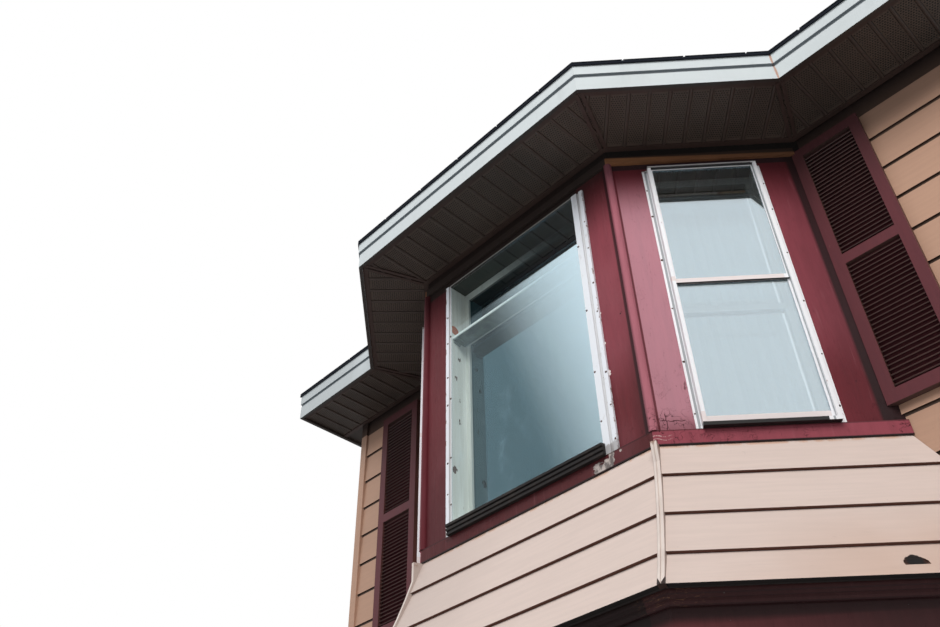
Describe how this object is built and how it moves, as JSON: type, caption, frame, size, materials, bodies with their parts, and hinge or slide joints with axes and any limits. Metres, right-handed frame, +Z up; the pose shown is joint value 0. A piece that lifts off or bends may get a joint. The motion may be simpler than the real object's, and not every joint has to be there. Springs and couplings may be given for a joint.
{
  "type": "canted bay window",
  "caption": "Canted bay window of a timber house with storm windows, louvred shutters, a flared lap-sided apron, a boxed eave that follows the bay and a low hipped roof.",
  "frame": {"origin": "on the back face of the floor rim, at the middle of the bay, 120 mm below the bay floor", "axes": "+X to the right along the wall as seen from outside, +Y into the house, +Z up"},
  "size_m": [4.8348, 1.237, 3.3133],
  "materials": {
    "framing": "bare",
    "floor": "bare boards",
    "underside": "dark weathered paint",
    "ceiling": "matte paint",
    "red_trim": "weathered red paint",
    "siding": "weathered satin",
    "golden_strip": "weathered paint",
    "white_paint": "flaking paint",
    "black_sill": "matte",
    "white_aluminium": "weathered satin",
    "glass": "clear",
    "rod": "dull",
    "curtain": "sheer cloth",
    "shutter": "weathered",
    "fascia": "weathered satin",
    "soffit": "satin, vented",
    "shingle": "rough mineral granules"
  },
  "bodies": {
    "root": {"apron_front": "siding", "apron_left": "siding", "apron_posts": "siding", "apron_right": "siding", "apron_soffit": "underside", "bay_ceiling": "ceiling", "bay_floor": "floor", "bay_wall_front": "red_trim", "bay_wall_left": "red_trim", "bay_wall_right": "red_trim", "corner_beads": "red_trim", "corner_posts": "siding", "crown_moulding": "red_trim", "curtain_rods": "rod", "eave_end_boards": "fascia", "fascia": "fascia", "floor_rim": "framing", "front_curtain": "curtain", "front_frame": "white_paint", "front_glass": "glass", "front_sill": "black_sill", "front_transom": "white_paint", "head_strips": "golden_strip", "left_shutter": "shutter", "right_shutter": "shutter", "roof_front": "shingle", "roof_left": "shingle", "roof_main_left": "shingle", "roof_main_right": "shingle", "roof_right": "shingle", "side_curtains": "curtain", "side_frames": "white_aluminium", "side_glass": "glass", "side_storm_sashes": "white_aluminium", "siding_left": "siding", "siding_right": "siding", "sill_bands": "red_trim", "skirt_boards": "red_trim", "soffit": "soffit", "underside": "underside", "wall_header": "framing", "wall_left": "framing", "wall_right": "framing", "window_liners": "white_paint", "wooden_sashes": "white_paint"}
  },
  "joints": []
}
